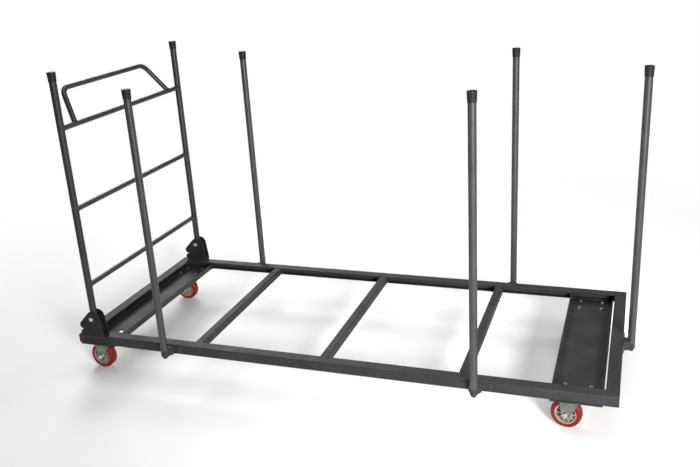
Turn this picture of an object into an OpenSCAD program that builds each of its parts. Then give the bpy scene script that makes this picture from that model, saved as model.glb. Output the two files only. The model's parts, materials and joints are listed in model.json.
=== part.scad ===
// Banquet table trolley: a castored steel frame with five lift-out posts and a folding push end.
// Millimetres, +Z up, +X away from the pusher, floor at z = 0, origin under the middle of the whole.

/* [Base frame] */
// Length of the side rails
frame_l = 1944; // [1600:1:2600]
// Width over the two side rails
frame_w = 800; // [700:1:1000]
// Height of the rail channel
rail_h = 36; // [32:0.5:60]
// Width of the ledge along the top of a rail, where the load rests
rail_ledge_w = 42; // [38:0.5:60]
// Width of the flange along the bottom of a rail
rail_foot_w = 25; // [18:0.5:28]
// Sheet thickness of the rails
rail_t = 3; // [2:0.1:4]
// Outer radius of the rail's bends
rail_bend_r = 5; // [4.5:0.1:8]
// Width of a cross tube
cross_tube_w = 30; // [20:0.5:50]
// Wall of a cross tube
cross_tube_t = 2; // [1.2:0.1:3]
// Corner radius of a cross tube
cross_tube_r = 3.5; // [3.1:0.1:5]
// Sheet thickness of the bolsters that carry the casters
bolster_t = 4; // [3:0.1:6]
// Reach of a bolster along the rails, from the swivel axis
bolster_reach = 80; // [60:1:110]
// Height of a bolster's stiffening lips
bolster_lip_h = 22; // [10:0.5:24]
// Outer radius of the bends under a bolster's lips
bolster_bend_r = 7; // [6.5:0.5:10]

/* [Casters] */
// Height of a caster, floor to the top of its plate
caster_h = 130; // [124:0.5:150]
// Distance of the push end's swivel axes from that end of the frame
push_swivel_inset = 72; // [66:0.5:140]
// Distance of the far end's swivel axes from that end of the frame
far_swivel_inset = 127; // [110:0.5:220]
// Distance of a swivel axis from the side of the frame
side_swivel_inset = 75; // [72:0.5:140]
// Angle by which the push end's casters have swivelled out of line
push_caster_yaw = 2; // [-180:1:180]
// Angle by which the far end's casters have swivelled out of line
far_caster_yaw = 9; // [-180:1:180]
// Distance of the wheel's axle behind the swivel axis
caster_trail = 32; // [24:0.5:40]
// Length of the caster's plate
caster_plate_l = 105; // [98:0.5:130]
// Width of the caster's plate
caster_plate_w = 85; // [78:0.5:110]
// Thickness of the caster's plate
caster_plate_t = 3.5; // [2.5:0.1:5]
// Corner radius of the caster's plate
caster_plate_r = 10; // [4:0.5:14]
// Spacing of the plate's bolts along its length
bolt_pitch_l = 80; // [76:0.5:84]
// Spacing of the plate's bolts across its width
bolt_pitch_w = 60; // [56:0.5:64]
// Shank diameter of the plate's bolts
bolt_d = 8; // [6:0.5:9]
// Width across the flats of the plate's bolts and nuts
bolt_flats = 13; // [11:0.5:14]
// Height of the plate's bolt heads
bolt_head_h = 5.3; // [3:0.1:8]
// Height of the plate's nuts
bolt_nut_h = 6.8; // [4:0.1:9]
// Height of the swivel's ball race, fork to plate
race_h = 10; // [8:0.1:12]
// Diameter of the fork's half of the race
race_d = 53; // [44:0.5:56]
// Wall of the dust skirt that hangs from the plate round the race
race_skirt_t = 2.6; // [1.5:0.1:3]
// Diameter of the kingpin
kingpin_d = 12; // [10:0.5:14]
// Width across the flats of the kingpin's nut
kingpin_flats = 19; // [17:0.5:24]
// Height of the kingpin's nut
kingpin_nut_h = 9; // [6:0.1:10]
// Sheet thickness of the fork
fork_t = 2.5; // [2:0.1:4]
// Outer radius of the fork's shoulders
fork_bend_r = 7; // [5:0.5:9]
// Radius of the fork's leg round the axle
fork_toe_r = 12.5; // [11:0.5:18]
// Reach of the fork's shoulders behind the swivel axis
fork_back = 52; // [40:0.5:60]
// Reach of the fork's shoulders in front of the swivel axis
fork_front = 14; // [8:0.5:28]

/* [Wheels] */
// Wheel diameter
wheel_d = 100; // [90:0.5:104]
// Width of the tread
wheel_w = 34; // [28:0.5:36]
// Radial thickness of the tread
tread_t = 14; // [11:0.5:16]
// Radius of the tread's edges
tread_edge_r = 10; // [4:0.5:10.5]
// Width of the hub's rim
rim_w = 29; // [22:0.5:32]
// Radial thickness of the hub's rim
rim_t = 4.5; // [3:0.1:6]
// Thickness of the disc between the hub's rim and its boss
hub_disc_t = 5; // [3:0.1:8]
// Diameter of the hub's boss
hub_boss_d = 25; // [20:0.5:30]
// Length of the hub's boss, between the fork's legs
hub_boss_l = 37; // [35.5:0.5:42]
// Number of ribs on each side of the hub
rib_count = 10; // [6:1:16]
// Thickness of a rib
rib_t = 2.6; // [1.5:0.1:4]
// Distance of the ribs below the face of the rim
rib_drop = 3; // [1:0.1:6]
// Axle diameter
axle_d = 10; // [8:0.5:12]
// Width across the flats of the axle's head and nut
axle_flats = 16; // [14:0.5:19]
// Height of the axle's head and nut
axle_head_h = 6.4; // [4:0.1:9]

/* [Posts] */
// Outer diameter of the post and upright tube
tube_d = 25.4; // [22:0.1:27]
// Wall of the post and upright tube
tube_t = 1.5; // [1:0.1:2.5]
// Distance of a post's axis outside the rail's face
post_offset = 25.5; // [24.5:0.5:40]
// Distance of the first pair of posts from the push end of the frame
push_post_inset = 384.5; // [200:0.5:700]
// Distance of the second pair of posts from the far end of the frame
far_post_inset = 438.5; // [250:0.5:700]
// Length of a post above its socket's rim, cap included
post_l = 943; // [500:1:1200]
// Outer diameter of the post's swaged foot
spigot_d = 21.4; // [18:0.1:21.6]
// Length of the post's swaged foot
spigot_l = 17; // [12:0.5:18]
// Distance of the socket's rim below the ledge
socket_drop = 12; // [6:0.5:13]
// Height of the socket's cup
socket_h = 30; // [29:0.5:44]
// Height of the cup's tapered bottom
socket_taper_h = 11; // [8:0.5:11.5]
// Diameter of the cup's flat underside
socket_tip_d = 15; // [8:0.5:18]
// Width of the socket's plate along the rail
socket_plate_w = 100; // [80:1:140]
// Thickness of the socket's plate
socket_plate_t = 3; // [2:0.1:5]
// Width of the socket's pressed neck where it leaves the plate
socket_neck_w = 44; // [34:0.5:60]
// Diameter of a cap at its top
cap_d = 30.2; // [29.4:0.1:30.8]
// Diameter of a cap at its lower edge
cap_low_d = 27.6; // [27.2:0.1:29]
// Height of a cap
cap_h = 32; // [20:0.5:45]
// Thickness of a cap's top
cap_top_t = 3; // [2:0.1:6]
// Radius of a cap's top edge
cap_edge_r = 2; // [0.5:0.1:3]

/* [Push end] */
// Distance of the pivot bolts from the push end of the frame
pivot_inset = 80; // [79:0.5:160]
// Height of the pivot bolts above the ledge
pivot_h = 75; // [64:0.5:110]
// Distance of an upright's axis inside the rail's outer face
upright_inset = 6; // [6:0.5:14]
// Length of an upright above its pivot, cap included
upright_l = 906; // [600:1:1100]
// Length of an upright's tail below its pivot
upright_tail = 40; // [25:0.5:46]
// Outer diameter of the crossbars and of the handle loop
bar_d = 19; // [16:0.5:22]
// Wall of the crossbars and of the handle loop
bar_t = 1.5; // [1:0.1:2.5]
// Height of the lowest crossbar above the pivot
low_bar_h = 129; // [110:0.5:200]
// Spacing of the crossbars
bar_pitch = 291.5; // [150:0.5:350]
// Distance between the feet of the handle loop
loop_foot_span = 626; // [560:1:660]
// Width of the handle loop at its top, corner to corner
loop_top_span = 524; // [300:1:540]
// Rise of the handle loop above its crossbar, measured along its lean
loop_rise = 136; // [90:1:200]
// Angle by which the handle loop leans towards the pusher
loop_lean = 32; // [0:1:60]
// Bend radius of the handle loop at the tube's axis
loop_bend_r = 45; // [25:1:60]
// Radial thinning of the handle loop's tube in its bends
loop_bend_slim = 0.1; // [0.1:0.05:0.3]

/* [Hinge brackets] */
// Sheet thickness of a hinge bracket
ear_t = 3.2; // [2:0.1:5]
// Radius of the ears' crown
ear_r = 29; // [24:0.5:34]
// Distance of the crown's centre ahead of the pivot
crown_shift = 5; // [0:0.5:8]
// Reach of the ears towards the pusher
ear_back = 57; // [52:0.5:66]
// Reach of the ears towards the load
ear_front = 42; // [38:0.5:60]
// Radius of the two lobes on the ears' back edge
lobe_r = 14; // [10:0.5:15]
// Distance of the upper lobe's centre below the pivot
upper_lobe_drop = 29; // [26:0.5:30]
// Height of the lower lobe's centre above the ledge
lower_lobe_rise = 15; // [12:0.5:16]
// Radius of the ears' lower corners
ear_corner_r = 7; // [4:0.5:8]
// Distance by which the ears' heel stands in from their back edge
ear_rake = 4; // [0:0.5:10]
// Depth of the notch between the lobes
notch_depth = 13; // [9:0.5:20]
// Height of the joggle that brings the outer ear in to the rail's face
joggle_h = 12; // [10:0.5:20]
// Gap between the stop web's top and the folded upright
web_gap = 4; // [1:0.5:10]
// Pivot bolt diameter
pivot_d = 10; // [8:0.5:12]
// Width across the flats of the pivot bolt's head and nut
pivot_flats = 16; // [14:0.5:19]
// Height of the pivot bolt's head and nut
pivot_head_h = 6.4; // [4:0.1:8]

/* [Clearances] */
// Radial clearance of a turning fit
turn_gap = 0.05; // [0.01:0.01:0.1]
// Clearance between plain sheet faces that pass each other
side_gap = 0.5; // [0.3:0.05:1]
// Radial clearance of a post in its socket
socket_gap = 0.3; // [0.1:0.05:0.5]
// Radial clearance of a bolt in a drilled plate
bolt_gap = 0.2; // [0.1:0.05:0.5]
// Gap left for weld and glue between fixed pieces
weld_gap = 0.05; // [0.02:0.01:0.1]

/* [Hidden] */
$fn = 64;
hex = 6;
hex_land = 0.95;
hex_chamfer = 30;
slack = 1;
edge_bite = 0.02;
bend_lap = 0.6;
steel = "#3b3e40";
zinc = "#a7abac";
cap_black = "#1c1c1d";
hub_cream = "#d6cbb6";
tread_red = "#b3302c";

frame_x0 = -(frame_l + post_offset + cap_d / 2) / 2;
frame_x1 = frame_x0 + frame_l;
frame_xc = (frame_x0 + frame_x1) / 2;
half_w = frame_w / 2;
rail_z = caster_h + bolster_t;
deck_z = rail_z + rail_h;

axle_z = wheel_d / 2;
swivel_y = half_w - side_swivel_inset;
push_swivel_x = frame_x0 + push_swivel_inset;
far_swivel_x = frame_x1 - far_swivel_inset;
plate_z = caster_h - caster_plate_t;
crown_z = plate_z - race_h;
fork_gap = hub_boss_l + 2 * side_gap;
fork_w = fork_gap + 2 * fork_t;
rim_r = wheel_d / 2 - tread_t;

tube_r = tube_d / 2;
bar_r = bar_d / 2;
rim_z = deck_z - socket_drop;
socket_z = rim_z - socket_h;
socket_floor_z = rim_z - spigot_l - side_gap;
post_top_z = rim_z + post_l - cap_top_t;

pivot_x = frame_x0 + pivot_inset;
pivot_z = deck_z + pivot_h;
upright_y = half_w - upright_inset;
upright_top_z = pivot_z + upright_l - cap_top_t;
ear_in_y = upright_y - tube_r - side_gap;
ear_out_y = upright_y + tube_r + side_gap;
rail_drop = pivot_h + rail_h;

// Each corner: name, swivel axis x, side, swivel angle
CORNERS = [
    ["push_front", push_swivel_x, -1, push_caster_yaw],
    ["push_back", push_swivel_x, 1, push_caster_yaw],
    ["far_front", far_swivel_x, -1, far_caster_yaw],
    ["far_back", far_swivel_x, 1, far_caster_yaw],
];

// Each post: name, point on the rail's face, turn that faces the socket outwards
POSTS = [
    ["push_front", [frame_x0 + push_post_inset, -half_w], 0],
    ["push_back", [frame_x0 + push_post_inset, half_w], 180],
    ["far_front", [frame_x1 - far_post_inset, -half_w], 0],
    ["far_back", [frame_x1 - far_post_inset, half_w], 180],
    ["end", [frame_x1, 0], 90],
];

// Each side of the push end: name, side
SIDES = [["front", -1], ["back", 1]];

// Each crossbar: name, height above the pivot
BARS = [
    ["low", low_bar_h],
    ["middle", low_bar_h + bar_pitch],
    ["top", low_bar_h + 2 * bar_pitch],
];

// Each cross tube: name, share of the frame's length from the push end
CROSS_TUBES = [["push", 1 / 4], ["middle", 2 / 4], ["far", 3 / 4]];

CORNER_PIECES = ["caster_plate_", "caster_fork_", "caster_axle_", "wheel_hub_", "wheel_tread_"];
POST_PIECES = ["post_socket_", "post_", "post_cap_"];

// Points where a straight line touches two circles on one side (turn = 1 or -1)
function touch_points(c1, r1, c2, r2, turn) =
    let (d = c2 - c1, a = atan2(d.y, d.x) + turn * acos((r1 - r2) / norm(d)), n = [cos(a), sin(a)])
    [c1 + r1 * n, c2 + r2 * n];

// Two circles with the straight lines that wrap them, which bite a hair into both rounds
module strap(c1, r1, c2, r2) {
    left = touch_points(c1, r1 - edge_bite, c2, r2 - edge_bite, 1);
    right = touch_points(c1, r1 - edge_bite, c2, r2 - edge_bite, -1);
    translate(c1) circle(r1);
    translate(c2) circle(r2);
    polygon([left[0], left[1], right[1], right[0]]);
}

// Rectangle with both corners at x = 0 rounded
module bent_block(w, h, r) {
    translate([r, 0]) square([w - r, h]);
    translate([0, r]) square([w, h - 2 * r]);
    for (y = [r, h - r]) translate([r, y]) circle(r);
}

// Rectangle about the origin with four rounded corners
module round_block(w, h, r) {
    square([w - 2 * r, h], center = true);
    square([w, h - 2 * r], center = true);
    for (x = [-1, 1], y = [-1, 1]) translate([x * (w / 2 - r), y * (h / 2 - r)]) circle(r);
}

// Flat ring, as the cut end of a tube
module tube_section(d, t) {
    difference() {
        circle(d / 2);
        circle(d / 2 - t);
    }
}

// Extrudes a sketch along X: sketch x runs along +Y, sketch y along +Z
module along_x(l) {
    rotate([90, 0, 90]) linear_extrude(l, center = true) children();
}

// Extrudes a sketch along Y: sketch x runs along +X, sketch y along +Z
module along_y(l) {
    rotate([90, 0, 0]) linear_extrude(l, center = true) children();
}

// Hexagon prism along +Z, sized across its flats, its outer corners turned off to a cone
module hex_prism(flats, h) {
    land_r = hex_land * flats / 2;
    intersection() {
        cylinder(d = flats / cos(180 / hex), h = h, $fn = hex);
        cylinder(r1 = land_r + h / tan(hex_chamfer), r2 = land_r, h = h);
    }
}

module on_corner(c) translate([c[1], c[2] * swivel_y, 0]) children();

module on_fork(c) on_corner(c) rotate(-c[3]) children();

module on_axle(c) on_fork(c) translate([-caster_trail, 0, axle_z]) rotate([90, 0, 0]) children();

module on_post(p) translate(p[1]) rotate(p[2]) translate([0, -post_offset, 0]) children();

module at_plate_bolts() {
    for (x = [-1, 1], y = [-1, 1]) translate([x * bolt_pitch_l / 2, y * bolt_pitch_w / 2, 0]) children();
}

// Channel open to the inside: sketch x is the depth from the outer face, sketch y the height
module rail_section() {
    difference() {
        bent_block(rail_ledge_w, rail_h, rail_bend_r);
        translate([rail_t, rail_t]) bent_block(rail_ledge_w, rail_h - 2 * rail_t, rail_bend_r - rail_t);
        translate([rail_foot_w, -slack]) square([rail_ledge_w, rail_t + slack]);
    }
}

// Rail along X with its outer face at y = -span, mitred at both ends
module rail(l, span) {
    cut = 3 * rail_ledge_w;
    color(steel) difference() {
        translate([0, -span, rail_z]) along_x(l) rail_section();
        for (end = [0, 1]) mirror([end, 0, 0]) translate([l / 2, -span, rail_z - slack]) rotate(45)
            translate([0, -cut / 2, 0]) cube([cut, cut, rail_h + 2 * slack]);
    }
}

module side_rail(side) translate([frame_xc, 0, 0]) rotate(side > 0 ? 180 : 0) rail(frame_l, half_w);

module end_rail(end) translate([frame_xc, 0, 0]) rotate(end * 90) rail(frame_w, frame_l / 2);

// Square tube that fills the rails' throats, under the ledges
module cross_tube(share) {
    h = rail_h - 2 * rail_t;
    l = frame_w - 2 * (rail_bend_r + side_gap);
    color(steel) translate([frame_x0 + share * frame_l, 0, rail_z + rail_h / 2]) along_y(l) difference() {
        round_block(cross_tube_w, h, cross_tube_r);
        round_block(cross_tube_w - 2 * cross_tube_t, h - 2 * cross_tube_t, cross_tube_r - cross_tube_t);
    }
}

// End view of a bolster between the rails: a plate with both edges turned up
module bolster_section() {
    h = bolster_t + bolster_lip_h;
    gap = bolster_reach - bolster_t;
    difference() {
        translate([bolster_reach, 0]) rotate(90) bent_block(h, 2 * bolster_reach, bolster_bend_r);
        translate([gap, bolster_t]) rotate(90) bent_block(h, 2 * gap, bolster_bend_r - bolster_t);
    }
}

// Plate under the rails that carries two casters, cut off at a distance behind their swivel axes
module bolster(swivel_x, back) {
    lip_l = frame_w - 2 * (rail_foot_w + side_gap);
    tab = (frame_w - lip_l) / 2;
    cut = 2 * bolster_reach;
    color(steel) translate([swivel_x, 0, rail_z - bolster_t]) difference() {
        union() {
            along_y(lip_l) bolster_section();
            for (y = [-half_w, lip_l / 2]) translate([-bolster_reach, y, 0])
                cube([2 * bolster_reach, tab, bolster_t]);
        }
        translate([-back - cut, -half_w - slack, -slack]) cube([cut, frame_w + 2 * slack, cut]);
        for (side = [-1, 1]) translate([0, side * swivel_y, -slack]) at_plate_bolts()
            cylinder(d = bolt_d + 2 * bolt_gap, h = bolster_t + 2 * slack);
    }
}

// Pressed cup on a plate, about the post's axis, with a neck that cradles the post above the cup's rim
module post_socket() {
    face_y = post_offset - socket_plate_t;
    neck_y = tube_r / 2;
    cheek = tube_r - socket_gap;
    top_z = deck_z - rail_bend_r;
    foot_z = rail_z + rail_bend_r;
    color(steel) difference() {
        union() {
            translate([-socket_plate_w / 2, face_y, foot_z])
                cube([socket_plate_w, socket_plate_t, top_z - foot_z]);
            translate([0, 0, rail_z]) linear_extrude(top_z - rail_z) polygon([
                [-cheek, neck_y],
                [-socket_neck_w / 2, face_y],
                [socket_neck_w / 2, face_y],
                [cheek, neck_y],
            ]);
            translate([-cheek, 0, rail_z]) cube([2 * cheek, neck_y + slack, rim_z - rail_z]);
            translate([0, 0, socket_z + socket_taper_h]) cylinder(d = tube_d, h = socket_h - socket_taper_h);
            translate([0, 0, socket_z]) cylinder(d1 = socket_tip_d, d2 = tube_d, h = socket_taper_h);
        }
        translate([0, 0, socket_floor_z]) cylinder(d = spigot_d + 2 * socket_gap, h = socket_h);
        translate([0, 0, rim_z]) cylinder(d = tube_d + 2 * socket_gap, h = socket_h);
    }
}

// Tube whose foot is swaged down to drop into the socket, with its shoulder on the rim
module post() {
    foot_z = rim_z - spigot_l;
    spigot_r = spigot_d / 2;
    color(steel) rotate_extrude() polygon([
        [spigot_r - tube_t, foot_z],
        [spigot_r, foot_z],
        [spigot_r, rim_z],
        [tube_r, rim_z],
        [tube_r, post_top_z],
        [tube_r - tube_t, post_top_z],
        [tube_r - tube_t, rim_z + 2 * tube_t],
        [spigot_r - tube_t, rim_z + tube_t],
    ]);
}

// Flared cap over a tube that ends at z = 0
module tube_cap() {
    low_z = cap_top_t - cap_h;
    bore_r = tube_r + weld_gap;
    color(cap_black) rotate_extrude() {
        polygon([
            [bore_r, low_z],
            [cap_low_d / 2, low_z],
            [cap_d / 2, cap_top_t - cap_edge_r],
            [cap_d / 2 - cap_edge_r, cap_top_t - cap_edge_r],
            [cap_d / 2 - cap_edge_r, cap_top_t],
            [0, cap_top_t],
            [0, 0],
            [bore_r, 0],
        ]);
        intersection() {
            translate([cap_d / 2 - cap_edge_r, cap_top_t - cap_edge_r]) circle(cap_edge_r);
            translate([cap_d / 2 - cap_edge_r, cap_top_t - cap_edge_r]) square(cap_edge_r);
        }
    }
}

// Side view of an ear about the pivot: two lobes on the back edge with a notch between them
module ear_outline(foot) {
    upper = [lobe_r - ear_back, -upper_lobe_drop];
    lower = [lobe_r - ear_back, lower_lobe_rise - pivot_h];
    heel = [ear_rake + ear_corner_r - ear_back, ear_corner_r - foot];
    toe = [ear_front - ear_corner_r, ear_corner_r - pivot_h];
    crown = [crown_shift, 0];
    notch_x = notch_depth - ear_back;
    strap(upper, lobe_r, crown, ear_r);
    strap(crown, ear_r, toe, ear_corner_r);
    strap(lower, lobe_r, heel, ear_corner_r);
    polygon([
        [heel.x, -foot],
        heel,
        lower,
        [notch_x, lower.y],
        [notch_x, upper.y],
        upper,
        crown,
        toe,
        [ear_front, toe.y],
        [ear_front, -foot],
    ]);
}

// End view of the outer ear: flat on the rail's face, then out past the upright
module joggled_section() {
    out = ear_out_y - half_w;
    bend_z = -pivot_h + rail_t;
    top = ear_r + slack;
    polygon([
        [half_w, -rail_drop],
        [half_w + ear_t, -rail_drop],
        [half_w + ear_t, bend_z - joggle_h],
        [half_w + ear_t + out, bend_z],
        [half_w + ear_t + out, top],
        [half_w + out, top],
        [half_w + out, bend_z + ear_t],
        [half_w, bend_z + ear_t - joggle_h],
    ]);
}

// Clevis on the rail's corner: outer ear, inner ear, base and the web that stops the upright's tail
module hinge_bracket(side) {
    reach = ear_back + ear_front + 2 * slack;
    gap = ear_out_y - ear_in_y;
    root = ear_t / 4;
    web_h = pivot_h - tube_r - web_gap;
    color(steel) translate([pivot_x, 0, pivot_z]) mirror([0, side > 0 ? 0 : 1, 0]) difference() {
        union() {
            intersection() {
                translate([0, half_w, 0]) along_y(frame_w) ear_outline(rail_drop);
                along_x(2 * reach) joggled_section();
            }
            translate([0, ear_in_y - ear_t / 2, 0]) along_y(ear_t) ear_outline(pivot_h);
            translate([lobe_r - ear_back, ear_in_y - root, -pivot_h])
                cube([ear_back - lobe_r + ear_front - 2 * ear_corner_r, gap + root, ear_t]);
            translate([tube_r + side_gap, ear_in_y - root, -pivot_h]) cube([ear_t, gap + 2 * root, web_h]);
        }
        translate([0, upright_y, 0]) rotate([90, 0, 0])
            cylinder(d = pivot_d + 2 * turn_gap, h = 2 * gap, center = true);
    }
}

module pivot_bolts() {
    shank = ear_out_y - ear_in_y + 2 * ear_t + pivot_head_h + 2 * turn_gap;
    color(zinc) for (s = SIDES) mirror([0, s[1] > 0 ? 0 : 1, 0])
        translate([pivot_x, ear_out_y + ear_t + turn_gap, pivot_z]) {
            rotate([-90, 0, 0]) hex_prism(pivot_flats, pivot_head_h);
            rotate([90, 0, 0]) cylinder(d = pivot_d, h = shank);
        }
}

module pivot_nuts() {
    color(zinc) for (s = SIDES) mirror([0, s[1] > 0 ? 0 : 1, 0])
        translate([pivot_x, ear_in_y - ear_t - turn_gap, pivot_z]) rotate([90, 0, 0]) difference() {
            hex_prism(pivot_flats, pivot_head_h);
            translate([0, 0, -slack]) cylinder(d = pivot_d + 2 * weld_gap, h = pivot_head_h + 2 * slack);
        }
}

module upright(side) {
    color(steel) translate([pivot_x, side * upright_y, pivot_z]) difference() {
        translate([0, 0, -upright_tail])
            linear_extrude(upright_top_z - pivot_z + upright_tail) tube_section(tube_d, tube_t);
        rotate([90, 0, 0]) cylinder(d = pivot_d + 2 * turn_gap, h = 2 * tube_d, center = true);
    }
}

module upright_caps() {
    for (s = SIDES) translate([pivot_x, s[1] * upright_y, upright_top_z]) tube_cap();
}

// Tube between the uprights, its ends coped round them
module crossbar(h) {
    color(steel) translate([pivot_x, 0, pivot_z + h]) difference() {
        along_y(2 * upright_y) tube_section(bar_d, bar_t);
        for (s = SIDES) translate([0, s[1] * upright_y, 0])
            cylinder(r = tube_r + weld_gap, h = 2 * bar_d, center = true);
    }
}

// Bent rod in the loop's own plane, feet on y = 0, its slimmer bends ending inside the straights
module loop_rod(r) {
    foot = [-loop_foot_span / 2, 0];
    corner = [-loop_top_span / 2, loop_rise];
    lean = atan2(corner.y - foot.y, corner.x - foot.x);
    reach = loop_bend_r * tan(lean / 2);
    translate([0, loop_rise, 0]) rotate([0, 90, 0])
        cylinder(r = r, h = loop_top_span - 2 * reach, center = true);
    for (side = [0, 1]) mirror([side, 0, 0]) {
        translate(foot) rotate(lean) rotate([0, 90, 0]) cylinder(r = r, h = norm(corner - foot) - reach);
        translate([corner.x + reach, loop_rise - loop_bend_r, 0]) rotate(90 - bend_lap)
            rotate_extrude(angle = lean + 2 * bend_lap) translate([loop_bend_r, 0]) circle(r - loop_bend_slim);
    }
}

module handle_loop() {
    color(steel) translate([pivot_x, 0, pivot_z + BARS[2][1]]) difference() {
        rotate([0, -loop_lean, 0]) rotate([90, 0, 90]) difference() {
            loop_rod(bar_r);
            loop_rod(bar_r - bar_t);
        }
        rotate([90, 0, 0]) cylinder(r = bar_r + weld_gap, h = frame_w, center = true);
    }
}

// Plate with four bolt holes and the skirt that hangs round the race
module caster_plate() {
    skirt_r = race_d / 2 + side_gap;
    color(zinc) difference() {
        union() {
            translate([0, 0, plate_z]) linear_extrude(caster_plate_t)
                round_block(caster_plate_l, caster_plate_w, caster_plate_r);
            translate([0, 0, crown_z + fork_t]) linear_extrude(race_h - fork_t)
                tube_section(2 * (skirt_r + race_skirt_t), race_skirt_t);
        }
        translate([0, 0, plate_z - slack])
            cylinder(d = kingpin_d + 2 * weld_gap, h = caster_plate_t + 2 * slack);
        translate([0, 0, plate_z - slack]) at_plate_bolts()
            cylinder(d = bolt_d + 2 * bolt_gap, h = caster_plate_t + 2 * slack);
    }
}

// Side view of the fork about the swivel axis: shoulders that taper to a round toe at the axle
module fork_outline() {
    axle = [-caster_trail, axle_z];
    shoulder_z = crown_z - fork_bend_r;
    back = [-fork_back, shoulder_z];
    front = [fork_front, shoulder_z];
    strap(axle, fork_toe_r, back, fork_t);
    strap(axle, fork_toe_r, front, fork_t);
    polygon([axle, front, back]);
    translate([-fork_back - fork_t, shoulder_z]) square([fork_back + fork_front + 2 * fork_t, fork_bend_r]);
}

// End view of the fork: a folded channel astride the wheel
module fork_section() {
    difference() {
        translate([0, crown_z]) rotate(-90) translate([0, -fork_w / 2])
            bent_block(crown_z, fork_w, fork_bend_r);
        translate([0, crown_z - fork_t]) rotate(-90) translate([0, -fork_gap / 2])
            bent_block(crown_z, fork_gap, fork_bend_r - fork_t);
    }
}

module caster_fork() {
    crown_d = race_d + 2 * (side_gap + race_skirt_t);
    color(zinc) difference() {
        union() {
            intersection() {
                along_x(4 * fork_back) fork_section();
                along_y(2 * fork_w) fork_outline();
            }
            translate([0, 0, crown_z - fork_t]) cylinder(d = crown_d, h = fork_t);
            translate([0, 0, crown_z]) cylinder(d = race_d, h = race_h - side_gap);
        }
        translate([0, 0, crown_z - 2 * fork_t])
            cylinder(d = kingpin_d + 2 * turn_gap, h = race_h + 2 * fork_t);
        translate([-caster_trail, 0, axle_z]) rotate([90, 0, 0])
            cylinder(d = axle_d + 2 * weld_gap, h = 2 * fork_w, center = true);
    }
}

// Bolt through the fork and the hub, with its nut
module caster_axle() {
    face = fork_w / 2 + weld_gap;
    color(zinc) {
        translate([0, 0, -face - axle_head_h]) cylinder(d = axle_d, h = 2 * (face + axle_head_h));
        for (end = [0, 1]) mirror([0, 0, end]) translate([0, 0, face]) hex_prism(axle_flats, axle_head_h);
    }
}

// Moulded core: rim, disc, boss and ribs on both sides
module wheel_hub() {
    rib_w = rim_w - 2 * rib_drop;
    rib_l = rim_r - rim_t / 2;
    color(hub_cream) difference() {
        union() {
            linear_extrude(rim_w, center = true) tube_section(2 * rim_r, rim_t);
            cylinder(r = rim_r - rim_t / 2, h = hub_disc_t, center = true);
            cylinder(d = hub_boss_d, h = hub_boss_l, center = true);
            for (i = [0 : rib_count - 1]) rotate(i * 360 / rib_count) translate([rib_l / 2, 0, 0])
                cube([rib_l, rib_t, rib_w], center = true);
        }
        cylinder(d = axle_d + 2 * turn_gap, h = hub_boss_l + 2 * slack, center = true);
    }
}

// Ring with well rounded edges, moulded round the hub's rim
module wheel_tread() {
    t = wheel_d / 2 - rim_r - weld_gap;
    color(tread_red) rotate_extrude() translate([wheel_d / 2, -wheel_w / 2]) mirror([1, 0, 0]) intersection() {
        bent_block(wheel_d / 2, wheel_w, tread_edge_r);
        translate([0, -slack]) square([t, wheel_w + 2 * slack]);
    }
}

module kingpins() {
    nut_z = crown_z - fork_t - side_gap - kingpin_nut_h;
    color(zinc) for (c = CORNERS) on_corner(c) {
        translate([0, 0, nut_z]) cylinder(d = kingpin_d, h = caster_h - nut_z);
        translate([0, 0, nut_z + kingpin_nut_h]) mirror([0, 0, 1]) hex_prism(kingpin_flats, kingpin_nut_h);
    }
}

module caster_bolts() {
    shank = bolster_t + caster_plate_t + bolt_nut_h + slack;
    color(zinc) for (c = CORNERS) on_corner(c) translate([0, 0, rail_z]) at_plate_bolts() {
        hex_prism(bolt_flats, bolt_head_h);
        translate([0, 0, -shank]) cylinder(d = bolt_d, h = shank);
    }
}

module caster_nuts() {
    color(zinc) for (c = CORNERS) on_corner(c) translate([0, 0, plate_z]) mirror([0, 0, 1]) at_plate_bolts()
        difference() {
            hex_prism(bolt_flats, bolt_nut_h);
            translate([0, 0, -slack]) cylinder(d = bolt_d + 2 * weld_gap, h = bolt_nut_h + 2 * slack);
        }
}

side_rail(-1);  // side_rail_front
side_rail(1);  // side_rail_back
end_rail(-1);  // end_rail_push
end_rail(1);  // end_rail_far
for (c = CROSS_TUBES) cross_tube(c[1]);
bolster(push_swivel_x, push_swivel_inset - rail_bend_r);  // caster_bolster_push
bolster(far_swivel_x, 2 * bolster_reach);  // caster_bolster_far
for (p = POSTS) {
    on_post(p) post_socket();
    on_post(p) post();
    on_post(p) translate([0, 0, post_top_z]) tube_cap();
}
for (s = SIDES) {
    hinge_bracket(s[1]);
    upright(s[1]);
}
for (b = BARS) crossbar(b[1]);
handle_loop();
upright_caps();
pivot_bolts();
pivot_nuts();
for (c = CORNERS) {
    on_corner(c) caster_plate();
    on_fork(c) caster_fork();
    on_axle(c) caster_axle();
    on_axle(c) wheel_hub();
    on_axle(c) wheel_tread();
}
kingpins();
caster_bolts();
caster_nuts();
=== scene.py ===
import json
import math
import bpy
import numpy as np
from mathutils import Matrix, Vector


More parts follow.
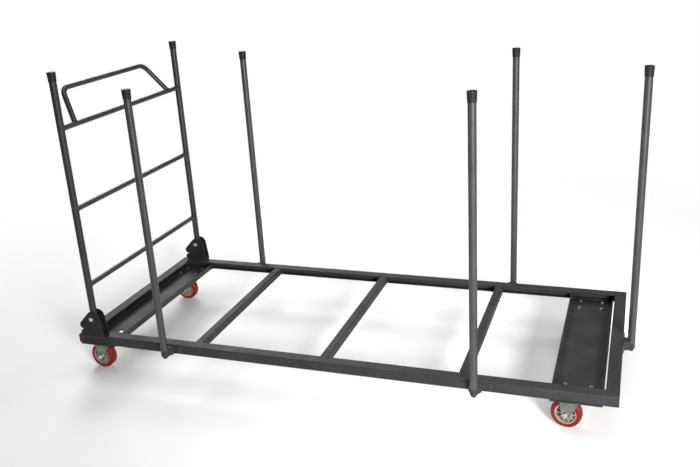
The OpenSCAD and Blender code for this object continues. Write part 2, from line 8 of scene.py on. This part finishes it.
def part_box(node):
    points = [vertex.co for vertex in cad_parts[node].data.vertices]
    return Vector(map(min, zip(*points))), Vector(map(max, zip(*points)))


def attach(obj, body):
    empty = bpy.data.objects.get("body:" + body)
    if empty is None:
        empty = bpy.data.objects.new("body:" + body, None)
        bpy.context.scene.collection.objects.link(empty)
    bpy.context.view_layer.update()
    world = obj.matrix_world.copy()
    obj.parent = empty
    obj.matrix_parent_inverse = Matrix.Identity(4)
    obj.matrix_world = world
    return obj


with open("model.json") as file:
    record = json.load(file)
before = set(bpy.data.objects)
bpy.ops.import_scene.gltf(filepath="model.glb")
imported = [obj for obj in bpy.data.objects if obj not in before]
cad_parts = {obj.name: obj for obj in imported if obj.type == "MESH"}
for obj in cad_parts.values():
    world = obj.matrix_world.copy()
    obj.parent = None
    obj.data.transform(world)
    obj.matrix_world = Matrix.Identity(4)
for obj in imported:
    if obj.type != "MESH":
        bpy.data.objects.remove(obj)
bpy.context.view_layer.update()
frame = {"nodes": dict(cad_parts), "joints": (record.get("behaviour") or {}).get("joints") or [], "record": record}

nodes = frame["nodes"]
scene = bpy.context.scene
scene.view_settings.view_transform = "Standard"
corners = ("push_front", "push_back", "far_front", "far_back")
postPlaces = corners + ("end",)
sides = {"front": -1, "back": 1}          # which way each side lies along Y
bars = ("low", "middle", "top")
print("frame loaded,", len(nodes), "nodes")

view = {
    "place": (0.9537, -2.6841, 1.5209),   # metres
    "yaw": 20.06,                         # degrees from +Y towards -X
    "pitch": 19.82,                       # degrees down
    "roll": -3.40,
    "focalPixels": 822.5,
    "imageWidth": 700,
    "sensor": 36.0,
    "reach": 400,                         # far end of the view, metres
}


# the camera looks along its own -Z, so its axes are right, up and the reverse of ahead
def makeCamera(v):
    yaw, pitch, roll = (math.radians(v[k]) for k in ("yaw", "pitch", "roll"))
    level = math.cos(pitch)
    ahead = Vector((-math.sin(yaw) * level, math.cos(yaw) * level, -math.sin(pitch)))
    across = ahead.cross(Vector((0, 0, 1))).normalized()
    plumb = across.cross(ahead)
    right = across * math.cos(roll) + plumb * math.sin(roll)
    up = plumb * math.cos(roll) - across * math.sin(roll)
    data = bpy.data.cameras.new("camera")
    data.sensor_fit = "HORIZONTAL"
    data.sensor_width = v["sensor"]
    data.lens = v["sensor"] * v["focalPixels"] / v["imageWidth"]
    data.clip_end = v["reach"]
    camera = bpy.data.objects.new("camera", data)
    scene.collection.objects.link(camera)
    turned = Matrix((right, up, -ahead)).transposed().to_4x4()
    camera.matrix_world = Matrix.Translation(v["place"]) @ turned
    scene.camera = camera


makeCamera(view)


# a node of the given type, with plain values put on its named or numbered sockets
def addNode(tree, kind, values=(), **settings):
    node = tree.nodes.new(kind)
    for key, value in settings.items():
        setattr(node, key, value)
    for key, value in dict(values).items():
        node.inputs[key].default_value = value
    return node


def join(tree, source, target):
    tree.links.new(source, target)


studio = {
    "fill": 0.10,                # strength of the even light from all round
    "fillColor": (0.98, 0.99, 1, 1),
    "floorColor": (0.86, 0.86, 0.855, 1),
    "floorSize": 120.0,
    "fadeStart": 1.5,            # metres from the middle, where the floor begins to fade to white
    "fadeEnd": 3.0,
    "lamps": [                   # name, place, aim, size, spread in degrees, watts, colour
        ("key", (2.6, -3.3, 1.7), (0.6, -0.1, 0.6), 1.1, 62, 44, (1.0, 0.99, 0.97)),
        ("top", (0.1, 0.0, 6.2), (0, 0, 0), 6.4, 180, 206, (0.98, 0.99, 1.0)),
        ("rim", (3.4, 3.4, 2.6), (0, 0, 0.6), 1.4, 180, 40, (0.96, 0.98, 1.0)),
        ("back", (-2.9, 3.6, 3.6), (0, 0, 0.4), 2.6, 180, 160, (0.97, 0.98, 1.0)),
    ],
}
white = (1, 1, 1, 1)


# white where the camera sees it, and a low even light for everything else
def makeWorld(s):
    world = bpy.data.worlds.new("studio")
    scene.world = world
    world.use_nodes = True
    tree = world.node_tree
    tree.nodes.clear()
    seen = addNode(tree, "ShaderNodeBackground", {"Color": white, "Strength": 1.0})
    lit = addNode(tree, "ShaderNodeBackground", {"Color": s["fillColor"], "Strength": s["fill"]})
    mix = addNode(tree, "ShaderNodeMixShader")
    join(tree, addNode(tree, "ShaderNodeLightPath").outputs["Is Camera Ray"], mix.inputs[0])
    join(tree, lit.outputs[0], mix.inputs[1])
    join(tree, seen.outputs[0], mix.inputs[2])
    join(tree, mix.outputs[0], addNode(tree, "ShaderNodeOutputWorld").inputs[0])


# matte near the part, so that it keeps the shadow, and fading with distance to white
def makeFloor(s):
    half = s["floorSize"] / 2
    mesh = bpy.data.meshes.new("floor")
    rim = [(-half, -half, 0), (half, -half, 0), (half, half, 0), (-half, half, 0)]
    mesh.from_pydata(rim, [], [(0, 1, 2, 3)])
    floor = bpy.data.objects.new("floor", mesh)
    scene.collection.objects.link(floor)
    material = bpy.data.materials.new("floor")
    material.use_nodes = True
    tree = material.node_tree
    tree.nodes.clear()
    where = addNode(tree, "ShaderNodeTexCoord")
    reach = addNode(tree, "ShaderNodeVectorMath", operation="LENGTH")
    fade = addNode(tree, "ShaderNodeMapRange", {1: s["fadeStart"], 2: s["fadeEnd"]},
                   interpolation_type="SMOOTHSTEP")
    seen = addNode(tree, "ShaderNodeMath", operation="MULTIPLY")
    matte = addNode(tree, "ShaderNodeBsdfDiffuse", {"Color": s["floorColor"]})
    glow = addNode(tree, "ShaderNodeEmission", {"Color": white, "Strength": 1.0})
    mix = addNode(tree, "ShaderNodeMixShader")
    join(tree, where.outputs["Object"], reach.inputs[0])
    join(tree, reach.outputs["Value"], fade.inputs[0])
    join(tree, fade.outputs[0], seen.inputs[0])
    join(tree, addNode(tree, "ShaderNodeLightPath").outputs["Is Camera Ray"], seen.inputs[1])
    join(tree, seen.outputs[0], mix.inputs[0])
    join(tree, matte.outputs[0], mix.inputs[1])
    join(tree, glow.outputs[0], mix.inputs[2])
    join(tree, mix.outputs[0], addNode(tree, "ShaderNodeOutputMaterial").inputs[0])
    mesh.materials.append(material)


def makeLamps(s):
    for name, place, aim, size, spread, watts, color in s["lamps"]:
        data = bpy.data.lights.new(name, "AREA")
        data.shape = "DISK"
        data.size = size
        data.spread = math.radians(spread)
        data.energy = watts
        data.color = color
        lamp = bpy.data.objects.new(name, data)
        scene.collection.objects.link(lamp)
        lamp.location = place
        lamp.rotation_euler = (Vector(aim) - Vector(place)).to_track_quat("-Z", "Y").to_euler()


makeWorld(studio)
makeFloor(studio)
makeLamps(studio)
print("studio set")


def newFinish(name):
    material = bpy.data.materials.new(name)
    material.use_nodes = True
    tree = material.node_tree
    return material, tree, tree.nodes["Principled BSDF"]


# noise of a given grain size in metres, on the piece's own coordinates
def grain(tree, size, detail):
    where = addNode(tree, "ShaderNodeTexCoord")
    noise = addNode(tree, "ShaderNodeTexNoise", {"Scale": 1 / size, "Detail": detail})
    join(tree, where.outputs["Object"], noise.inputs["Vector"])
    return noise.outputs["Fac"]


# noise drawn out into fine lines along a heading in the XY plane, in degrees from X
def scratchLines(tree, c, heading, length):
    where = addNode(tree, "ShaderNodeTexCoord")
    stretch = (length, c["scratchThin"], c["scratchThin"])
    turned = addNode(tree, "ShaderNodeMapping",
                     {"Rotation": (0, 0, math.radians(heading)), "Scale": stretch},
                     vector_type="TEXTURE")
    noise = addNode(tree, "ShaderNodeTexNoise",
                    {"Scale": 1 / c["scratch"], "Detail": c["scratchDetail"],
                     "Distortion": c["scratchWaver"]})
    join(tree, where.outputs["Object"], turned.inputs["Vector"])
    join(tree, turned.outputs[0], noise.inputs["Vector"])
    return noise.outputs["Fac"]


def mapRange(tree, source, low, high, toLow=0.0, toHigh=1.0):
    node = addNode(tree, "ShaderNodeMapRange", {1: low, 2: high, 3: toLow, 4: toHigh})
    join(tree, source, node.inputs[0])
    return node.outputs[0]


# grain spread out to the range 0 to 1; a mottle is its size, detail, and the noise at 0 and at 1
def mottled(tree, mottle, toLow=0.0, toHigh=1.0):
    size, detail, low, high = mottle
    return mapRange(tree, grain(tree, size, detail), low, high, toLow, toHigh)


def combine(tree, operation, first, second):
    node = addNode(tree, "ShaderNodeMath", operation=operation)
    join(tree, first, node.inputs[0])
    join(tree, second, node.inputs[1])
    return node.outputs[0]


# sockets 6 and 7 of the Mix node are its two colours, and output 2 the mixed one
def mixColor(tree, amount, first, second):
    node = addNode(tree, "ShaderNodeMix", data_type="RGBA")
    join(tree, amount, node.inputs[0])
    for socket, value in ((node.inputs[6], first), (node.inputs[7], second)):
        if isinstance(value, tuple):
            socket.default_value = (*value, 1)
        else:
            join(tree, value, socket)
    return node.outputs[2]


edgeWear = {"cut": (1.0, 0.80), "samples": 4}     # cosines at which it starts and is full


def roundedNormal(tree, radius):
    node = addNode(tree, "ShaderNodeBevel", {"Radius": radius}, samples=edgeWear["samples"])
    return node.outputs[0]


# how far the rounded normal turns away from the flat one: 0 on open faces, rising to 1 at edges
def edgeTurn(tree, rounded):
    dot = addNode(tree, "ShaderNodeVectorMath", operation="DOT_PRODUCT")
    join(tree, rounded, dot.inputs[0])
    join(tree, addNode(tree, "ShaderNodeNewGeometry").outputs["Normal"], dot.inputs[1])
    return mapRange(tree, dot.outputs["Value"], *edgeWear["cut"])


# a bump is its grain size, detail, strength and depth
def addBump(tree, bump, normal, bsdf):
    size, detail, strength, depth = bump
    node = addNode(tree, "ShaderNodeBump", {"Strength": strength, "Distance": depth})
    join(tree, grain(tree, size, detail), node.inputs["Height"])
    join(tree, normal, node.inputs["Normal"])
    join(tree, node.outputs[0], bsdf.inputs["Normal"])


coat = {
    "dark": (0.0108, 0.0120, 0.0132),
    "light": (0.0192, 0.0215, 0.0235),
    "worn": (0.14, 0.14, 0.135),
    "cloud": (0.11, 4, 0.35, 0.68),       # soft patches in the colour
    "peel": (0.0016, 2, 0.05, 0.0003),    # bump of the orange peel
    "patch": (0.07, 3, 0.44, 0.64),       # areas that loads have rubbed
    "scratch": 0.006,
    "scratchThin": 0.5,                   # width, as a share of that size
    "scratchDetail": 2.0,
    "scratchWaver": 0.25,
    "headings": ((14, 11), (71, 6)),      # of the scratches: degrees from X, and how far drawn out
    "scratchCut": (0.65, 0.72),
    "scratchShow": (0.02, 0.30),          # outside and inside the rubbed areas
    "chips": (0.006, 4, 0.47, 0.62),      # breaks in the wear along edges
    "edge": 0.0009,
    "satin": (0.05, 3, 0.3, 0.7),         # patches of roughness
    "rough": (0.56, 0.68),
    "gloss": 0.42,
}
# painted light: a lighter copy of the charcoal coat for the posts, standing in for the light they catch; it is
# glossier too
litPostCoat = {**coat, "dark": (0.020, 0.022, 0.025), "light": (0.030, 0.034, 0.037),
            "rough": (0.36, 0.46), "gloss": 0.70}
tubeCoat = {**coat, "rough": (0.40, 0.50), "gloss": 0.5}
bracketCoat = {**coat, "dark": (0.006, 0.0065, 0.0063), "light": (0.011, 0.0117, 0.0110),
               "gloss": 0.32}
# painted highlight: a lighter copy of the charcoal coat, so that the socket plates' edge welds show as light lines
highlightBeadCoat = {**coat, "dark": (0.030, 0.033, 0.035), "light": (0.056, 0.060, 0.063)}


def powderCoat(c, name):
    material, tree, bsdf = newFinish(name)
    lines = [mapRange(tree, scratchLines(tree, c, heading, length), *c["scratchCut"])
             for heading, length in c["headings"]]
    shown = mapRange(tree, mottled(tree, c["patch"]), 0, 1, *c["scratchShow"])
    scratched = combine(tree, "MULTIPLY", shown, combine(tree, "MAXIMUM", *lines))
    rounded = roundedNormal(tree, c["edge"])
    worn = combine(tree, "MULTIPLY", edgeTurn(tree, rounded), mottled(tree, c["chips"]))
    base = mixColor(tree, mottled(tree, c["cloud"]), c["dark"], c["light"])
    base = mixColor(tree, scratched, base, c["worn"])
    join(tree, mixColor(tree, worn, base, c["worn"]), bsdf.inputs["Base Color"])
    join(tree, mottled(tree, c["satin"], *c["rough"]), bsdf.inputs["Roughness"])
    bsdf.inputs["Specular IOR Level"].default_value = c["gloss"]
    addBump(tree, c["peel"], rounded, bsdf)
    return material


zinc = {
    "dull": (0.46, 0.47, 0.46),
    "bright": (0.66, 0.67, 0.66),
    "cloud": (0.012, 5, 0.34, 0.66),
    "satin": (0.004, 3, 0.3, 0.7),
    "rough": (0.26, 0.42),
    "bump": (0.0012, 3, 0.1, 0.0002),
    "edge": 0.0005,
}
pressing = {**zinc, "dull": (0.15, 0.166, 0.155), "bright": (0.25, 0.265, 0.25),
            "cloud": (0.022, 5, 0.34, 0.66), "rough": (0.38, 0.54), "edge": 0.0007}


def zincPlate(z, name):
    material, tree, bsdf = newFinish(name)
    tone = mixColor(tree, mottled(tree, z["cloud"]), z["dull"], z["bright"])
    join(tree, tone, bsdf.inputs["Base Color"])
    join(tree, mottled(tree, z["satin"], *z["rough"]), bsdf.inputs["Roughness"])
    bsdf.inputs["Metallic"].default_value = 1.0
    addBump(tree, z["bump"], roundedNormal(tree, z["edge"]), bsdf)
    return material


capPlastic = {
    "black": (0.012, 0.012, 0.0128),
    "rubbed": (0.034, 0.034, 0.035),
    "patch": (0.009, 4, 0.40, 0.66),
    "satin": (0.012, 3, 0.3, 0.7),
    "rough": (0.50, 0.66),
    "bump": (0.0008, 2, 0.15, 0.0002),
    "edge": 0.0012,
    "gloss": 0.24,
}


def blackPlastic(c):
    material, tree, bsdf = newFinish("black cap plastic")
    rounded = roundedNormal(tree, c["edge"])
    rub = combine(tree, "MULTIPLY", edgeTurn(tree, rounded), mottled(tree, c["patch"]))
    join(tree, mixColor(tree, rub, c["black"], c["rubbed"]), bsdf.inputs["Base Color"])
    join(tree, mottled(tree, c["satin"], *c["rough"]), bsdf.inputs["Roughness"])
    bsdf.inputs["Specular IOR Level"].default_value = c["gloss"]
    addBump(tree, c["bump"], rounded, bsdf)
    return material


hub = {
    "cream": (0.26, 0.23, 0.185),
    "pale": (0.34, 0.31, 0.26),
    # painted shade: the colour that darkens the hub's pockets, broken up by a mottle of grime
    "pocketShadeAndGrime": (0.14, 0.15, 0.13),
    "tone": (0.015, 4, 0.35, 0.65),
    "smear": (0.007, 5, 0.30, 0.62),
    "pocketReach": 0.014,                 # how far off a wall still shades a pocket
    "pocketCut": (0.80, 0.25),            # openness at which the painted shade in the pockets starts and is full
    "pocketSamples": 6,
    "bump": (0.0015, 2, 0.08, 0.0002),
    "edge": 0.0006,
    "rough": 0.42,
}


def creamNylon(h):
    material, tree, bsdf = newFinish("cream nylon")
    # painted shade: ambient occlusion darkens the pockets, and the smear mottle adds grime to it
    shade = addNode(tree, "ShaderNodeAmbientOcclusion", {"Distance": h["pocketReach"]},
                    samples=h["pocketSamples"])
    pocket = mapRange(tree, shade.outputs["AO"], *h["pocketCut"])
    pocketShadeAndGrime = combine(tree, "MULTIPLY", pocket, mottled(tree, h["smear"]))
    base = mixColor(tree, mottled(tree, h["tone"]), h["cream"], h["pale"])
    join(tree, mixColor(tree, pocketShadeAndGrime, base, h["pocketShadeAndGrime"]), bsdf.inputs["Base Color"])
    bsdf.inputs["Roughness"].default_value = h["rough"]
    addBump(tree, h["bump"], roundedNormal(tree, h["edge"]), bsdf)
    return material


# distance from a wheel's axle line, in metres: length of (point - centre) x axle
def axleDistance(tree, centre, axle):
    where = addNode(tree, "ShaderNodeTexCoord")
    offset = addNode(tree, "ShaderNodeVectorMath", {1: centre}, operation="SUBTRACT")
    across = addNode(tree, "ShaderNodeVectorMath", {1: axle}, operation="CROSS_PRODUCT")
    reach = addNode(tree, "ShaderNodeVectorMath", operation="LENGTH")
    join(tree, where.outputs["Object"], offset.inputs[0])
    join(tree, offset.outputs[0], across.inputs[0])
    join(tree, across.outputs[0], reach.inputs[0])
    return reach.outputs["Value"]


tread = {
    "red": (0.150, 0.005, 0.006),
    "bright": (0.205, 0.008, 0.008),
    "dust": (0.13, 0.035, 0.032),
    "tone": (0.02, 3, 0.35, 0.65),
    "speck": (0.005, 6, 0.42, 0.70),
    "dustShow": 0.40,
    "rough": (0.38, 0.64),                # clean, and with dust to the next value
    "dustFull": 0.5,
    "bump": (0.002, 3, 0.08, 0.0003),
    "gloss": 0.18,
    "radius": 0.050,
    "band": 0.0035,                       # depth of the rolling band below the wheel's radius
    "edge": 0.0006,
}


def redPolyurethane(t, place, centre, axle):
    material, tree, bsdf = newFinish("red polyurethane " + place)
    inner, outer = t["radius"] - t["band"], t["radius"] - t["band"] / 4
    rolling = mapRange(tree, axleDistance(tree, centre, axle), inner, outer)
    dust = combine(tree, "MULTIPLY", rolling, mottled(tree, t["speck"], 0.0, t["dustShow"]))
    base = mixColor(tree, mottled(tree, t["tone"]), t["red"], t["bright"])
    join(tree, mixColor(tree, dust, base, t["dust"]), bsdf.inputs["Base Color"])
    join(tree, mapRange(tree, dust, 0, t["dustFull"], *t["rough"]), bsdf.inputs["Roughness"])
    bsdf.inputs["Specular IOR Level"].default_value = t["gloss"]
    addBump(tree, t["bump"], roundedNormal(tree, t["edge"]), bsdf)
    return material


def setMaterial(piece, material):
    piece.data.materials.clear()
    piece.data.materials.append(material)


coatFinish = powderCoat(coat, "charcoal powder coat")
bracketFinish = powderCoat(bracketCoat, "black powder coat")
litPostFinish = powderCoat(litPostCoat, "charcoal powder coat lit for the posts")
tubeFinish = powderCoat(tubeCoat, "tube powder coat")
highlightBeadFinish = powderCoat(highlightBeadCoat, "powder coat with painted highlight")
pressedFinish = zincPlate(pressing, "dull zinc plate")
hubFinish = creamNylon(hub)
finishes = {
    "powder_coated_steel": coatFinish,
    "zinc_plated_steel": zincPlate(zinc, "zinc plate"),
    "black_cap_plastic": blackPlastic(capPlastic),
}
joints = {j["name"]: j for j in frame["joints"]}
for row in frame["record"]["subparts"]:
    if row["material_slot"] in finishes:
        setMaterial(nodes[row["node"]], finishes[row["material_slot"]])
for side in sides:
    setMaterial(nodes["hinge_bracket_" + side], bracketFinish)
    setMaterial(nodes["upright_" + side], tubeFinish)
for bar in bars:
    setMaterial(nodes["crossbar_" + bar], tubeFinish)
setMaterial(nodes["handle_loop"], tubeFinish)
# the posts take the lighter coat, which is painted light
for place in postPlaces:
    setMaterial(nodes["post_" + place], litPostFinish)
for place in corners:
    spin = joints["wheel_spin_" + place]
    treadFinish = redPolyurethane(tread, place, spin["pos_m"], spin["axis"])
    setMaterial(nodes["caster_plate_" + place], pressedFinish)
    setMaterial(nodes["caster_fork_" + place], pressedFinish)
    setMaterial(nodes["wheel_hub_" + place], hubFinish)
    setMaterial(nodes["wheel_tread_" + place], treadFinish)
print("finishes set")


# a weld from a grid of points, rows along its path and columns round its section:
# neighbours in the grid make the faces, and a path with ends is closed by a fan at each end
def gridPiece(name, points, body, material, ring):
    rows, cols = points.shape[:2]
    index = np.arange(rows * cols).reshape(rows, cols)
    ahead = np.roll(index, -1, 0)
    if not ring:
        index, ahead = index[:-1], ahead[:-1]
    quads = np.stack([index, np.roll(index, -1, 1), np.roll(ahead, -1, 1), ahead], -1)
    quads = quads.reshape(-1, 4)
    faces = np.concatenate([quads[:, [0, 1, 2]], quads[:, [0, 2, 3]]])
    spots = points.reshape(-1, 3)
    if not ring:
        first = np.arange(cols)
        last = first + (rows - 1) * cols
        tips = np.stack([points[0].mean(0), points[-1].mean(0)])
        start = np.stack([np.roll(first, -1), first, np.full(cols, rows * cols)], -1)
        stop = np.stack([last, np.roll(last, -1), np.full(cols, rows * cols + 1)], -1)
        spots = np.concatenate([spots, tips])
        faces = np.concatenate([faces, start, stop])
    corner = spots[faces]
    volume = np.einsum("ij,ij->i", corner[:, 0], np.cross(corner[:, 1], corner[:, 2])).sum()
    if volume < 0:                        # faces point outwards
        faces = faces[:, ::-1]
    mesh = bpy.data.meshes.new(name)
    mesh.from_pydata(spots.tolist(), [], faces.tolist())
    mesh.polygons.foreach_set("use_smooth", np.ones(len(faces), bool))
    mesh.update()
    piece = bpy.data.objects.new(name, mesh)
    scene.collection.objects.link(piece)
    setMaterial(piece, material)
    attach(piece, body)


weld = {
    "radius": 0.0024,       # of the bead's section
    "ripple": 0.16,         # share of the radius by which the scales rise and fall
    "rippleMiddle": 0.6,
    "pitch": 0.0027,        # of the scales along the bead
    "taper": 0.98,          # how far an end is drawn in
    "round": 10,            # points round the section
    "step": 0.0007,         # along the path
    "fewest": 8,            # points along a bead
    "fewestScales": 2,
}


# round bead along a path: path + radius * (cos a * out + sin a * along), the radius rising and
# falling in scales as |sin| of the distance run, and drawn in at the ends of an open path by a
# quarter circle; flat is the height of the section as a share of its width
def beadPoints(path, out, along, w, ring, size=1.0, flat=1.0):
    steps = np.linalg.norm(np.diff(path, axis=0), axis=1)
    run = np.concatenate([[0], np.cumsum(steps)])
    total = run[-1] + (np.linalg.norm(path[0] - path[-1]) if ring else 0)
    pitch = total / max(w["fewestScales"], round(total / w["pitch"]))
    scales = np.abs(np.sin(np.pi * run / pitch)) - w["rippleMiddle"]
    radius = w["radius"] * size * (1 + w["ripple"] * scales)
    if not ring:
        inset = np.minimum(run, total - run) / (w["radius"] * size)
        radius = radius * np.sqrt(1 - (1 - np.clip(inset, 0, 1)) ** 2 * w["taper"])
    angle = np.linspace(0, 2 * np.pi, w["round"], endpoint=False)[None, :, None]
    spread = np.cos(angle) * flat * out[:, None, :] + np.sin(angle) * along[:, None, :]
    return path[:, None, :] + radius[:, None, None] * spread


# bead on the straight line start + t * (stop - start)
def straightBead(name, start, stop, out, along, size=1.0, flat=1.0, finish=coatFinish):
    start, stop = np.array(start, float), np.array(stop, float)
    count = max(weld["fewest"], round(np.linalg.norm(stop - start) / weld["step"]))
    path = start + np.linspace(0, 1, count)[:, None] * (stop - start)
    out, along = np.tile(out, (count, 1)), np.tile(along, (count, 1))
    points = beadPoints(path, out, along, weld, False, size, flat)
    gridPiece(name, points, "base_frame", finish, False)


def middle(node):
    low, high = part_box(node)
    return np.array((low + high) / 2)


def halfWidth(node):
    low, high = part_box(node)
    return (high.x - low.x) / 2


tubeRadius, barRadius = halfWidth("upright_front"), halfWidth("crossbar_low")
turns = round(2 * np.pi * barRadius / weld["step"])
roundBar = np.linspace(0, 2 * np.pi, turns, endpoint=False)      # angles round a bar


# where a crossbar meets an upright: at angle a round the bar the point is
# barRadius * (cos a, sin a) off the bar's axis, and stands off the upright's axis by the
# root of tubeRadius^2 - (barRadius cos a)^2
def crossbarBead(bar, side):
    centre = middle("crossbar_" + bar)
    stand = np.sqrt(tubeRadius**2 - (barRadius * np.cos(roundBar)) ** 2)
    out = np.stack([np.cos(roundBar), np.zeros(turns), np.sin(roundBar)], -1)
    path = centre * (1, 0, 1) + barRadius * out
    path[:, 1] = middle("upright_" + side)[1] - sides[side] * stand
    along = np.tile((0.0, -sides[side], 0.0), (turns, 1))
    points = beadPoints(path, out, along, weld, True)
    gridPiece("weld_crossbar_" + bar + "_" + side, points,
              "push_end", coatFinish, True)


loop = {"footSpan": 0.626, "topSpan": 0.524, "rise": 0.136, "lean": 32.0}     # metres, degrees


# where a leg of the loop meets the top bar: a point on the leg's skin slides along the leg by the
# larger root of |offset + s * leg| = barRadius, measured square to the bar
def loopBead(side, h):
    lean = math.radians(h["lean"])
    rise = np.array((-math.sin(lean), 0, math.cos(lean))) * h["rise"]
    leg = rise + np.array((0, -sides[side] * (h["footSpan"] - h["topSpan"]) / 2, 0))
    leg = leg / np.linalg.norm(leg)
    first = np.cross(leg, (0, 1, 0))
    first = first / np.linalg.norm(first)
    second = np.cross(leg, first)
    out = np.cos(roundBar)[:, None] * first + np.sin(roundBar)[:, None] * second
    offset = barRadius * out
    square = np.array((1, 0, 1))
    a = (leg * square) @ (leg * square)
    b = 2 * (offset * square) @ (leg * square)
    c = np.einsum("ij,ij->i", offset * square, offset * square) - barRadius**2
    slide = (-b + np.sqrt(np.maximum(b * b - 4 * a * c, 0))) / (2 * a)
    foot = middle("crossbar_top") * (1, 0, 1) + np.array((0, sides[side] * h["footSpan"] / 2, 0))
    path = foot + offset + slide[:, None] * leg
    points = beadPoints(path, out, np.tile(leg, (turns, 1)), weld, True)
    gridPiece("weld_handle_" + side, points, "push_end", coatFinish, True)


for side in sides:
    for bar in bars:
        crossbarBead(bar, side)
    loopBead(side, loop)

frameWelds = {
    "bend": 0.005,                        # radius of the rails' folded edges
    "tubeInset": 0.003,                   # from a cross tube's edges
    "groundFlat": 0.16,                   # height left on the ground mitres
    "stitchStarts": (0.014, 0.040, 0.066),
    "stitchLength": 0.018,
    "stitchSize": 0.8,
    "skirtDrop": 0.014,                   # from the deck to the top of the skirt's weld
}
railLow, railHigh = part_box("side_rail_front")
backLow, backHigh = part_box("side_rail_back")
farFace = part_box("end_rail_far")[1].x
outerY = {"front": railLow.y, "back": backHigh.y}
innerY = {"front": railHigh.y, "back": backLow.y}
up, alongX, alongY = (0.0, 0.0, 1.0), (1.0, 0.0, 0.0), (0.0, 1.0, 0.0)
deck = railHigh.z
bend = frameWelds["bend"]
railFoot, faceTop = railLow.z + bend, deck - bend                # the flat of the rail's outer face

# the socket plates' upright edges, against the rails' outer faces
for place in postPlaces:
    low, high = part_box("post_socket_" + place)
    for edge in (0, 1):
        name = "weld_socket_" + place + ("_a", "_b")[edge]
        if place == "end":
            spot, out, along = (farFace, (low.y, high.y)[edge]), alongX, alongY
        else:
            side = place.split("_")[1]
            spot, out, along = ((low.x, high.x)[edge], outerY[side]), alongY, alongX
        # these welds take the lighter coat, a painted highlight along the plates' edges
        straightBead(name, (*spot, railFoot), (*spot, faceTop), out, along, finish=highlightBeadFinish)

# across each cross tube's top, along the inner edges of the ledges
for tube in ("push", "middle", "far"):
    low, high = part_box("cross_tube_" + tube)
    inset = frameWelds["tubeInset"]
    for side in sides:
        start, stop = (low.x + inset, innerY[side], high.z), (high.x - inset, innerY[side], high.z)
        straightBead("weld_cross_tube_" + tube + "_" + side, start, stop, up, alongY)

# the mitres across the ledges' corners, ground nearly flush
ledge = railHigh.y - railLow.y
for side in sides:
    for end, edgeX, way in (("push", railLow.x, 1), ("far", railHigh.x, -1)):
        inward = np.array((way, -sides[side], 0.0))
        begin = np.array((edgeX, outerY[side], deck))
        straightBead("weld_corner_" + end + "_" + side,
                     begin + inward * bend, begin + inward * (ledge - bend / 2),
                     up, np.cross(inward, up) / math.sqrt(2), 1.0, frameWelds["groundFlat"])

# the hinge brackets' inner ears on the ledges, in stitches, and the skirts on the rails' faces
for side in sides:
    low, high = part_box("hinge_bracket_" + side)
    earY = high.y if side == "front" else low.y
    for stitch, startX in enumerate(frameWelds["stitchStarts"]):
        start = (low.x + startX, earY, deck)
        stop = (start[0] + frameWelds["stitchLength"], earY, deck)
        straightBead("weld_ear_" + side + "_" + str(stitch), start, stop, up, alongY,
                     frameWelds["stitchSize"])
    top = deck - frameWelds["skirtDrop"]
    spot = (high.x, outerY[side])
    straightBead("weld_skirt_" + side, (*spot, railFoot), (*spot, top), alongY, alongX)
print("welds run")
